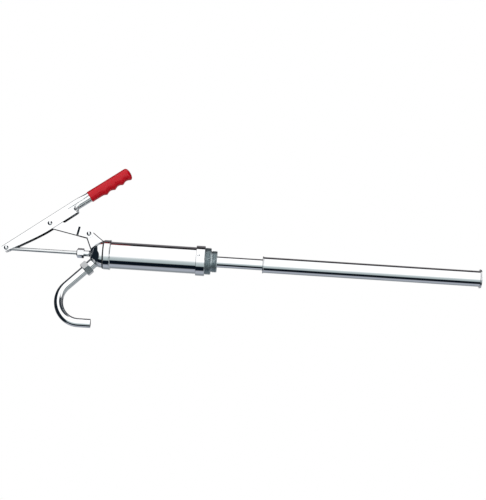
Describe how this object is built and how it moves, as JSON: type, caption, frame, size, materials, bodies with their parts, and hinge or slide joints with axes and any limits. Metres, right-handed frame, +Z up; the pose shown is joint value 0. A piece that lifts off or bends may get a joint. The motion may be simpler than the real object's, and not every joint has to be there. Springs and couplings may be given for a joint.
{
  "type": "drum barrel pump",
  "caption": "Lever-action drum pump: chromed barrel with a linkage lever and red grip, swan-neck spout, threaded bung adapter and telescopic suction tube.",
  "frame": {"origin": "on the pump's axis, in the plane of the shoulder that rests on the drum, where the large bung thread starts", "axes": "+Z up the pump's axis towards the head and the piston rod, suction tube towards -Z; +X towards the lever and grip, spout towards -X"},
  "size_m": [0.359, 0.0663, 1.0572],
  "materials": {
    "chrome": "bright chrome plate",
    "plated_stamping": "chrome plate on stamped sheet",
    "plated_fastener": "bright plated",
    "die_cast_zinc": "dull grey casting with cut threads",
    "bright_steel": "ground",
    "cast_aluminium": "turned casting",
    "valve_brass": "turned",
    "seal_rubber": "matt",
    "guide_plastic": "natural nylon",
    "grip_vinyl": "satin dipped vinyl"
  },
  "bodies": {
    "pump_body": {"barrel_tube": "chrome", "barrel_base": "die_cast_zinc", "bottom_collar": "chrome", "collar_screw": "plated_fastener", "head_collar": "chrome", "head_gasket": "seal_rubber", "head_seal": "seal_rubber", "head_dome": "chrome", "gland_neck": "chrome", "gland_packing": "seal_rubber", "gland_follower": "valve_brass", "outlet_stub": "chrome", "spout_washer": "seal_rubber", "ear_bracket": "plated_stamping", "link_pin": "plated_fastener", "bung_adapter": "die_cast_zinc", "suction_tube_inner": "chrome", "inner_guide_ring": "guide_plastic", "foot_valve_cage": "bright_steel"},
    "gland_nut_body": {"gland_nut": "plated_fastener"},
    "foot_valve": {"foot_valve_disc": "valve_brass"},
    "rod": {"piston_rod": "bright_steel", "rod_eye": "bright_steel", "piston_body": "cast_aluminium", "piston_cup": "seal_rubber", "piston_clamp_plate": "bright_steel", "piston_nut": "plated_fastener", "piston_valve_stop": "bright_steel"},
    "piston_valve_body": {"piston_valve": "valve_brass"},
    "lever": {"lever_channel": "plated_stamping", "rod_pin": "plated_fastener", "rod_pin_washers": "plated_fastener", "lever_pin": "plated_fastener", "grip": "grip_vinyl"},
    "link_body": {"link": "plated_stamping"},
    "suction_tube": {"suction_tube_outer": "chrome", "mouth_bush": "guide_plastic", "foot_rim": "chrome", "foot_strainer": "bright_steel"},
    "spout": {"spout_tube": "chrome"},
    "spout_nut_body": {"spout_nut": "plated_fastener"}
  },
  "joints": [
    {"name": "rod_slide", "type": "slide", "parent": "pump_body", "child": "rod", "axis": [0, 0, -1], "range_m": [0, 0.07]},
    {"name": "lever_hinge", "type": "hinge", "parent": "rod", "child": "lever", "pos_m": [0, 0, 0.4358], "axis": [0, -1, 0], "range_deg": [0, 35.3]},
    {"name": "link_hinge", "type": "hinge", "parent": "pump_body", "child": "link_body", "pos_m": [0.0431, 0, 0.2578], "axis": [0, 1, 0], "range_deg": [0, 32]},
    {"name": "suction_tube_slide", "type": "slide", "parent": "pump_body", "child": "suction_tube", "axis": [0, 0, -1], "range_m": [-0.09, 0.345]},
    {"name": "spout_swivel", "type": "hinge", "parent": "pump_body", "child": "spout", "pos_m": [0, 0, 0.2244], "axis": [-0.7071, 0, 0.7071], "continuous": true},
    {"name": "spout_nut_turn", "type": "hinge", "parent": "pump_body", "child": "spout_nut_body", "pos_m": [0, 0, 0.2244], "axis": [-0.7071, 0, 0.7071], "range_deg": [0, 360]},
    {"name": "gland_nut_turn", "type": "hinge", "parent": "pump_body", "child": "gland_nut_body", "pos_m": [0, 0, 0.274], "axis": [0, 0, 1], "range_deg": [-60, 60]},
    {"name": "piston_valve_lift", "type": "slide", "parent": "rod", "child": "piston_valve_body", "axis": [0, 0, 1], "range_m": [0, 0.003]},
    {"name": "foot_valve_lift", "type": "slide", "parent": "pump_body", "child": "foot_valve", "axis": [0, 0, 1], "range_m": [0, 0.0038]}
  ],
  "couplings": [
    {"joint": "lever_hinge", "follows": "rod_slide", "rad_per_m": 8.787},
    {"joint": "link_hinge", "follows": "rod_slide", "rad_per_m": 7.964}
  ]
}
